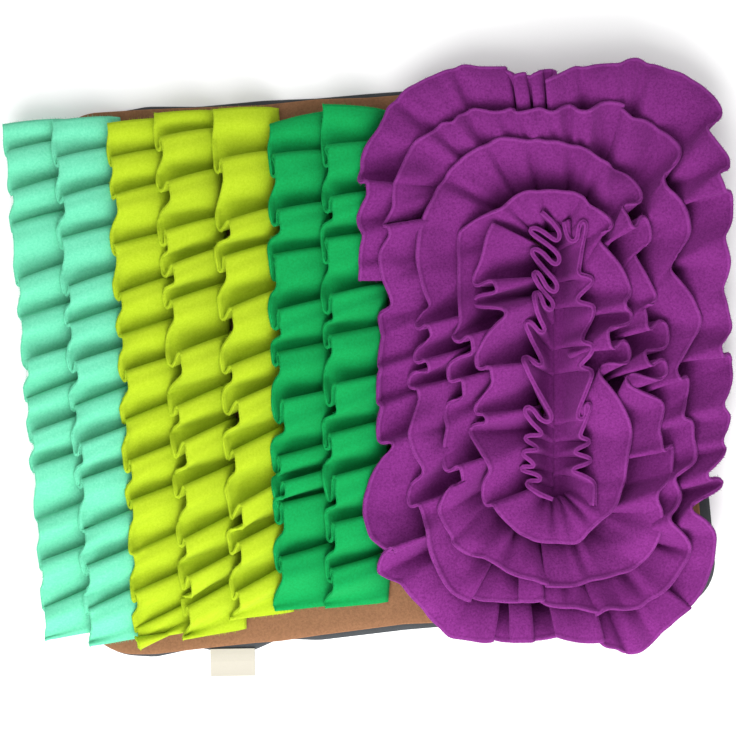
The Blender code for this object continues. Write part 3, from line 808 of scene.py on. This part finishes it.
for number, row in enumerate(STRAIGHT):
    line = Line(np.linspace(row["top"], row["bottom"], 12))
    grid, places = ruffle_sheet(line, straight_bends(row, line.length), number, **STRAIGHT_LIE)
    grid = ground.carry(grid, FLEECE)
    ground.add(grid)
    name, dye = row["name"], row["dye"]
    lay_cloth(f"{name}_cloth", name, dye, grid, places[-1], groove=STRAIGHT_GROOVE)
    lay_fringe(f"{name}_fringe", name, dye, grid, number)

# ======== spiral ruffle
# One long strip of purple fleece, sewn down in a spiral of four turns from the flower's middle outwards. Its
# cloth stands up from the seam and curls out, in loose waves at the sides and flat pleats at the ends.

FLOWER_CENTRE, FLOWER_TURN = (157.0, -15.7), math.radians(-4.0)
SPINE_HALF, SPIRAL_SHIFT, SPIRAL_START, SPIRAL_STEP = 108.0, -3.0, 21.5, 26.2
SPIRAL_FROM, SPIRAL_TO, SPIRAL_POINTS = -0.03, 4.03, 3000
ROUNDNESS, SQUARER = 0.97, 0.08  # of the spiral's ends, and how much squarer each turn is
LOOSE_LEAN, FLAT_LEAN = 11.0, 4.5  # how far the free edge is ahead of its seam, at the sides and at the ends
RIM = 4.0  # how far inside the corners of its outline the middle of the cloth's edge is
BLOCK, CLEAR_TURNS = 24, 0.7  # rows laid at a time, and how far ahead the cloth is that they lie on
WIDEN, SOFTEN = 4, 24  # by how many rows a rise over lower cloth spreads, and how often it is then softened
SPIRAL_SEED = 11

# How the cloth is creased at a corner of the free edge, step by step along it: how far ahead the edge is, how
# far back from the corner, and which layer of the pleat it is in. At the seam a crease is wider.
CREASES = dict(
    plain=((0.0, 0.0, 0.25),),
    valley=((-5.0, 0.0, 0.6), (0.0, 1.0, -1.0), (5.0, 0.0, 0.6)),
    ridge=((-9.0, 3.0, 0.0), (0.0, 0.0, 1.3), (9.0, 3.0, 0.0)),
    over=((2.5, 1.5, -1.0), (-2.5, 0.0, 1.0)),
    under=((2.5, 0.0, 1.0), (-2.5, 1.5, -1.0)),
)
CREASE_WIDER = 1.4

# Side by side in the order that it is sewn. A side has its folds: from fold to fold along the seam, how far
# the free edge reaches at its outermost and at its innermost there, and how far the second lies past the
# first. An end has its edge's corners in the flower's own upright plan, with the crease there if it has one.
SPIRAL_FOLDS = (
    dict(side="left", length=225, pitch=(30, 21, 57, 43, 32, 42),
         outer=(52, 52, 48, 47, 51, 38), inner=(30, 22, 31, 35, 31, 27), step=(10, 11, 23, 12, 35, 11)),
    dict(side="bottom", length=53, corners=(
        (-62, -128), (-51, -141, "valley"), (-29, -160), (-22, -164), (-2, -166, "valley"), (17, -167),
        (25, -162), (37, -149, "valley"), (50, -138), (62, -116), (67, -106),
    )),
    dict(side="right", length=280, pitch=(109, 55, 32, 40, 44),
         outer=(37, 32, 34, 31, 16), inner=(4, 10, 24, 1, 7), step=(56, 25, 12, 46, 20)),
    dict(side="top", length=82, corners=(
        (53, 135), (46, 145), (36, 153), (22, 162, "valley"), (7, 165), (-15, 166, "valley"), (-36, 163),
        (-50, 153, "valley"), (-65, 144),
    )),
    dict(side="left", length=270, pitch=(35, 79, 39, 33, 48, 36),
         outer=(49, 44, 47, 49, 49, 54), inner=(47, 24, 30, 45, 30, 51), step=(15, 21, 23, 16, 19, 15)),
    dict(side="bottom", length=94, corners=(
        (-107, -137), (-99, -157), (-93, -171), (-70, -178), (-55, -188, "valley"), (-22, -199),
        (-10, -205, "over"), (19, -206), (31, -202, "valley"), (47, -198), (60, -194), (81, -185),
        (92, -172), (96, -160),
    )),
    dict(side="right", length=339, pitch=(54, 49, 48, 30, 35, 44, 47, 32),
         outer=(41, 53, 39, 40, 42, 29, 23, 25),
         inner=(32, 34, 2, 18, 17, 8, 1, 19), step=(11, 29, 25, 15, 30, 40, 27, 22)),
    dict(side="top", length=113, corners=(
        (68, 178), (57, 185), (43, 195, "valley"), (28, 205), (14, 209, "valley"), (-11, 211),
        (-26, 214, "valley"), (-48, 215), (-65, 211, "valley"), (-78, 204), (-94, 192),
        (-107, 178, "valley"), (-116, 160),
    )),
    dict(side="left", length=295, pitch=(90, 44, 32, 25, 58, 46),
         outer=(55, 52, 52, 57, 55, 55), inner=(41, 36, 37, 45, 40, 41), step=(46, 12, 13, 15, 34, 18)),
    dict(side="bottom", length=185, corners=(
        (-124, -150), (-121, -171), (-109, -198), (-99, -212), (-84, -219, "under"), (-60, -219),
        (-36, -220, "over"), (-15, -218, "under"), (-10, -223), (12, -225, "valley"), (38, -232, "over"),
        (44, -226), (53, -226), (88, -220, "valley"), (111, -200), (122, -183),
    )),
    dict(side="right", length=366, pitch=(35, 34, 37, 26, 39, 76, 76, 43),
         outer=(51, 30, 44, 40, 36, 45, 33, 48),
         inner=(20, 23, 41, 29, 22, 15, 18, 47), step=(20, 15, 18, 5, 11, 50, 36, 14)),
    dict(side="top", length=174, corners=(
        (117, 208), (107, 220), (94, 228), (72, 232), (64, 240), (62, 247, "over"), (52, 249), (36, 243),
        (22, 240, "valley"), (14, 247), (3, 244), (-4, 239, "valley"), (-15, 243), (-35, 239, "valley"),
        (-41, 243), (-54, 240, "valley"), (-74, 243), (-85, 240, "valley"), (-95, 230),
        (-116, 224, "valley"), (-134, 212),
    )),
    dict(side="left", length=351, pitch=(27, 23, 47, 43, 36, 35, 36),
         outer=(54, 61, 63, 63, 63, 63, 57),
         inner=(58, 51, 48, 55, 56, 54, 42), step=(19, 9, 38, 15, 2, 4, 4)),
    dict(side="bottom", length=214, corners=(
        (-181, -122), (-182, -140), (-177, -157), (-154, -169, "over"), (-169, -194), (-147, -202),
        (-126, -226), (-109, -245), (-100, -255), (-76, -257), (-61, -255, "under"), (-44, -257, "over"),
        (-24, -256, "under"), (0, -251, "over"), (41, -256, "under"), (44, -262), (56, -263),
        (79, -267, "ridge"), (98, -248), (112, -236), (126, -227, "under"), (149, -180),
    )),
    dict(side="right", length=401, pitch=(53, 38, 31, 32, 53, 43, 51, 50, 28),
         outer=(40, 44, 47, 50, 51, 49, 43, 47, 51),
         inner=(12, 26, 41, 42, 36, 38, 36, 36, 44), step=(24, 8, 7, 11, 12, 35, 21, 20, 18)),
    dict(side="top", length=209, corners=(
        (155, 226), (159, 238), (149, 255), (133, 268), (106, 279), (85, 287, "valley"), (57, 283),
        (23, 281, "valley"), (5, 276), (-8, 267, "under"), (-5, 277), (-14, 278, "over"),
        (-22, 272, "under"), (-32, 275, "over"), (-40, 272, "under"), (-46, 281, "over"), (-76, 282),
        (-97, 281, "valley"), (-113, 275), (-134, 265), (-152, 251, "valley"), (-161, 236), (-168, 222),
    )),
    dict(side="left", length=144, pitch=(54, 32, 36, 22),
         outer=(60, 56, 53, 52), inner=(47, 49, 51, 50), step=(13, 14, 6, 4)),
)

# A side's fold is hooked, with its undermost cloth turned back, where its step and its depth are in these
# ranges. Elsewhere it is an open wave. Radii are in millimetres, or shares of the step.
HOOKED_STEP, HOOKED_DEPTH = (8.0, 32.0), (9.0, 26.0)
SHOULDER, HOOK, HOOK_SHARE, NECK, HEEL = 9.0, 6.0, 0.26, 3.2, 3.0
WAVE_OUT, WAVE_OUT_SHARE, WAVE_IN, WAVE_IN_SHARE = 5.0, 0.36, 4.5, 0.24
ROOT_BACK, BACK_FROM, BACK_TO = 8.0, 500.0, 0.72  # from this far along the seam to this share of it


def on_flower(points):
    """Points of the flower's own upright plan, in their place on the pad."""
    return put_down(points, FLOWER_TURN, FLOWER_CENTRE)


def spiral_point(turn):
    """A point of the spiral seam: down the left side, round the bottom, up the right side, over the top."""
    side, end = 2 * SPINE_HALF, math.pi * (SPIRAL_START + 2 * SPIRAL_STEP)  # at its middle radius
    side, end = side / (2 * (side + end)), end / (2 * (side + end))
    radius, part = SPIRAL_START + SPIRAL_STEP * turn, turn % 1.0
    if part < side:
        return SPIRAL_SHIFT - radius, SPINE_HALF * (1 - 2 * part / side)
    if side + end <= part < 2 * side + end:
        return SPIRAL_SHIFT + radius, SPINE_HALF * (2 * (part - side - end) / side - 1)
    if part < side + end:
        angle = math.pi * (1 + (part - side) / end)
    else:
        angle = math.pi * (part - 2 * side - end) / end
    across, up, power = math.cos(angle), math.sin(angle), ROUNDNESS - SQUARER * turn
    return (
        SPIRAL_SHIFT + math.copysign(abs(across) ** power, across) * radius,
        math.copysign(SPINE_HALF, up) + math.copysign(abs(up) ** power, up) * radius,
    )


def corner_bends(corners, start, end, past=60.0):
    """Bends of an end of the flower, read off the corners of its free edge, by the nearest seam to each."""
    near = (seam.at > start - past) & (seam.at < end + past)
    bends = []
    for x, y, *crease in corners:
        gaps = np.linalg.norm(seam.points[near] - on_flower((x, y)), axis=1)
        at, reach = seam.at[near][gaps.argmin()], gaps.min()
        for ahead, back, layer in CREASES[crease[0] if crease else "plain"]:
            sewn = at + CREASE_WIDER * ahead - FLAT_LEAN
            bends.append(Bend(at + ahead, reach - back - RIM, 0.0, OUTER, sewn, layer))
    return bends


def side_fold(fold, pitch, outer, inner, step, length):
    """Bends of one fold of a side: it goes out round its outermost point and back round its innermost."""
    middle = fold + LOOSE_LEAN
    out_at, in_at = middle - step / 2, middle + step / 2
    tuck = min(TUCK, 0.3 * pitch)
    root = fold - (ROOT_BACK if BACK_FROM < fold < BACK_TO * length else 0.0)
    if HOOKED_STEP[0] < step < HOOKED_STEP[1] and HOOKED_DEPTH[0] < outer - inner < HOOKED_DEPTH[1]:
        hook = min(HOOK, HOOK_SHARE * step)
        return [
            Bend(out_at, outer, SHOULDER, OUTER, root - 0.4 * pitch, 0.1),
            Bend(out_at + 0.42 * step, outer - 1.0, hook, OUTER, root + tuck, LOWEST),
            Bend(out_at + 0.40 * step, inner + 2.5, NECK, INNER, root + 0.3 * tuck, 0.7),
            Bend(in_at, inner, HEEL, INNER, root, 1.0),
        ]
    wave_out, wave_in = max(WAVE_OUT, WAVE_OUT_SHARE * step), max(WAVE_IN, WAVE_IN_SHARE * step)
    return [
        Bend(out_at, outer, wave_out, OUTER, root - max(1.0, 0.3 * step), -0.2),
        Bend(in_at, inner, wave_in, INNER, root, 0.9),
    ]


def spiral_bends(length, apart=3.0, least=5.0):
    """Bends of the spiral. An end's first corners are left out where the side before it is already there."""
    bends, row_start = [Bend(0.0, 40.0, 0.0, OUTER, 0.0, 0.8)], 0.0
    total = column(SPIRAL_FOLDS, "length").sum()
    for row in SPIRAL_FOLDS:
        row_end = row_start + row["length"] * length / total
        if "corners" in row:
            found, last = corner_bends(row["corners"], row_start, row_end), bends[-1].at
            bends += [bend for bend in found if bend.at > last + apart]
        else:
            fold = row_start
            for pitch, outer, inner, step in zip(row["pitch"], row["outer"], row["inner"], row["step"]):
                pitch = pitch * length / total
                fold = fold + pitch
                if fold > length - least:
                    bends.append(Bend(length + 2.0, outer, 0.0, OUTER, length, -0.3))
                    break
                bends += side_fold(fold, pitch, outer, inner, step, length)
        row_start = row_end
    return bends


def curl_more_when_upright(share):
    return np.radians(np.full(share.shape, 96.0))


# Turn by turn, how far the seam lies inside its cloth's own line, so that no pad shows between the turns, and
# how much wider the strip is cut.
SEAM_SHIFTS = table(
    "turn inward wider",
    (-0.03, 12, 9),
    (0.12, 15, 9),
    (0.30, 14, 0),
    (0.55, 12, 0),
    (0.80, 22, 0),
    (0.95, 22, 0),
    (1.05, 12, 0),
    (1.20, 3, 0),
    (1.50, 10, 0),
    (1.75, 17, 0),
    (1.90, 15, 0),
    (2.10, 2, 0),
    (2.50, 6, 0),
    (2.72, 14, 4),
    (2.82, 14, 6),
    (2.90, 6, 2),
    (3, 0, 0),
    (3.18, 0, 0),
    (3.26, 0, 14),
    (3.31, 0, 0),
    (3.40, 0, 6),
    (3.46, 0, 0),
    (3.65, 4, 0),
    (3.80, 5, 18),
    (3.84, 0, 11),
    (3.88, 0, 0),
    (3.93, 0, 7),
    (4, 0, 0),
)
turns = np.linspace(SPIRAL_FROM, SPIRAL_TO, SPIRAL_POINTS)
seam = Line(on_flower([spiral_point(turn) for turn in turns]))


def shifts(key):
    """One column of the table above, read by the distance along the seam."""
    def read(distance):
        turn = np.interp(distance, seam.at, turns)
        return np.interp(turn, column(SEAM_SHIFTS, "turn"), column(SEAM_SHIFTS, key))
    return read


SPIRAL_LIE = dict(width=STRIP, curl=curl_more_when_upright, curl_limit=3.4, power=1.2, belly=5.0, uneven=1.6)
grid, places = ruffle_sheet(seam, spiral_bends(seam.length), SPIRAL_SEED, **SPIRAL_LIE,
                            inward=shifts("inward"), wider=shifts("wider"))

# Its inner turns lie on the outer ones, so the strip is laid from its outer end, over what is a turn ahead.
row_turns = np.interp(places / places[-1] * seam.length, seam.at, turns)
laid, waiting = grid.copy(), len(grid)
for start in range(len(grid) - BLOCK, -BLOCK, -BLOCK):
    block = slice(max(start, 0), start + BLOCK)
    while waiting > 0 and row_turns[waiting - 1] > row_turns[block.start] + CLEAR_TURNS:
        waiting -= 1
        ground.add(laid[waiting:waiting + 1])
    laid[block] = ground.carry(grid[block], FLEECE)
rises = laid[..., 2] - grid[..., 2]
for _ in range(WIDEN):
    rises[1:-1] = np.maximum(rises[1:-1], np.maximum(rises[:-2], rises[2:]))
grid[..., 2] += soften(rises, SOFTEN)
ground.add(grid)

lay_cloth("spiral_ruffle_cloth", "spiral_ruffle", "purple", grid, places[-1])
lay_fringe("spiral_ruffle_fringe", "spiral_ruffle", "purple", grid, SPIRAL_SEED)

# ======== centre ruffle
# A short double ruffle of the same purple fleece, sewn down along its middle line inside the spiral. Both
# halves stand up, the left one in tight loops and the right one in pleats that fan out.

CENTRE_HALF, CENTRE_THICK, CENTRE_GROOVE = 42.0, 1.35 * FLEECE, 0.6
CENTRE_ENDS = (-125.0, 131.0)
CENTRE_TUCK = 5.0  # how far each fold lies over the next one
CENTRE_SEED = 21

# Fold by fold from the upper end: its place on the seam, then the place, reach and radius of the free edge's
# bend near the seam, and of the bend away from it that follows.
LEFT_LOOPS = table(
    "fold near least loop far most tip",
    (13, 7.5, -4, 5.6, 5, 23.5, 3),
    (38, 29.5, -3.5, 5.6, 25, 22, 3),
    (61, 55.5, -1, 5.4, 46.5, 21.5, 3),
    (86, 72.5, 3, 5, 65.5, 21, 3),
    (111, 95, 11, 3.8, 92, 28.5, 3),
    (134, 126, 14, 3.8, 124, 30.5, 2.8),
    (183, 176, 5.5, 5.6, 172, 29, 4),
    (198, 192, 14, 2.2, 197, 28, 2.4),
    (212, 206, 18, 2.2, 211, 30.5, 2.4),
    (226, 222, 21, 2.2, 225, 31.5, 2.2),
    (240, 234, 15, 3.2, 239, 26.5, 2.6),
)
RIGHT_PLEATS = table(
    "fold near least loop far most tip",
    (18, 11.5, 12.5, 3.6, 0.5, 25, 3.2),
    (47, 43, 21.5, 3.4, 50, 32.5, 1.4),
    (72, 68, 20, 3.4, 75, 32.5, 1.4),
    (111, 106, 23, 3, 111, 31, 1.2),
    (134, 129.5, 23, 2.4, 134, 31, 1.2),
    (181, 176, 20, 3.8, 167, 29.5, 2.4),
    (197, 195, 22.5, 2.2, 200, 31, 1.6),
    (212, 209, 17.5, 2.4, 217, 31.5, 1.4),
    (229, 226, 15.5, 2.4, 238, 33, 1.2),
)
# The two halves, with the place and reach of each free edge's ends.
CENTRE_SIDES = (
    dict(name="left", side=1.0, folds=LEFT_LOOPS, first=(-12.5, 16.0), last=(253.4, 4.0)),
    dict(name="right", side=-1.0, folds=RIGHT_PLEATS, first=(-4.0, 7.5), last=(259.0, 33.0)),
)


def centre_bends(row, length):
    """Bends of one half of the double ruffle."""
    bends = [Bend(*row["first"], 0.0, OUTER, 0.0, 0.5)]
    for fold in row["folds"]:
        bends.append(Bend(fold["near"], fold["least"], fold["loop"], INNER, fold["fold"] + CENTRE_TUCK, 0.8))
        bends.append(Bend(fold["far"], fold["most"], fold["tip"], OUTER, fold["fold"] - 1.0, -1.0))
    return bends + [Bend(*row["last"], 0.0, INNER, length, -0.3)]


def curl_in(share):
    return np.radians(-75.0 - 30.0 * (1.0 - share))


CENTRE_LIE = dict(width=CENTRE_HALF, curl=curl_in, curl_limit=4.0, power=1.5, belly=0.0, uneven=0.4)
middle = Line(on_flower(np.linspace((0.0, CENTRE_ENDS[1]), (0.0, CENTRE_ENDS[0]), 12)))
for row in CENTRE_SIDES:
    bends = centre_bends(row, middle.length)
    grid, places = ruffle_sheet(middle, bends, CENTRE_SEED, **CENTRE_LIE, side=row["side"])
    grid = ground.carry(grid, FLEECE)
    lay_cloth(f"centre_ruffle_{row['name']}", "centre_ruffle", "purple", grid, places[-1],
              CENTRE_THICK, CENTRE_GROOVE)

# ======== floor, light and camera
# The mat lies on a plain white floor and is seen from straight above, under a white sky, a large softbox and
# a small low one that shines on its near end.

FLOOR_HALF = 6.0  # in metres
SKY = 0.86
CAMERA_PLACE, CAMERA_TURN, CAMERA_LENS = (-17.5, -4.5, 1800.0), math.radians(-4.0), 92.7

mesh = bpy.data.meshes.new("floor")
corners = [(x * FLOOR_HALF, y * FLOOR_HALF, 0) for x, y in ((-1, -1), (1, -1), (1, 1), (-1, 1))]
mesh.from_pydata(corners, [], [(0, 1, 2, 3)])
floor = add_object("floor", mesh)
paper = Material("floor_white", roughness=0.9)
paper_colour = paper.mix(paper.noise(paper.place(), 4.0), (0.93, 0.93, 0.93), (0.95, 0.95, 0.95))
mesh.materials.append(paper.finish(base_color=paper_colour))

world = bpy.data.worlds.new("studio")
world.use_nodes = True
world.node_tree.nodes["Background"].inputs["Color"].default_value = (1.0, 1.0, 1.0, 1.0)
world.node_tree.nodes["Background"].inputs["Strength"].default_value = SKY
bpy.context.scene.world = world


def soft_light(name, place, target, size, power):
    """A square softbox that faces the target, in metres and watts."""
    data = bpy.data.lights.new(name, "AREA")
    data.shape, data.size, data.energy = "SQUARE", size, power
    light = add_object(name, data)
    light.location = place
    light.rotation_euler = (Vector(target) - Vector(place)).to_track_quat("-Z", "Y").to_euler()


soft_light("overhead_softbox", (-0.75, -1.5, 1.8), (0.0, 0.0, 0.0), size=1.9, power=50.0)
soft_light("low_softbox", (0.0, -1.0, 0.7), (0.1, -0.2, 0.0), size=0.8, power=10.5)

camera_data = bpy.data.cameras.new("camera")
camera_data.lens, camera_data.sensor_width = CAMERA_LENS, 36.0
camera = add_object("camera", camera_data)
camera.location = [part * MM for part in CAMERA_PLACE]
camera.rotation_euler = (0.0, 0.0, CAMERA_TURN)
bpy.context.scene.camera = camera
bpy.context.scene.view_settings.view_transform = "Standard"
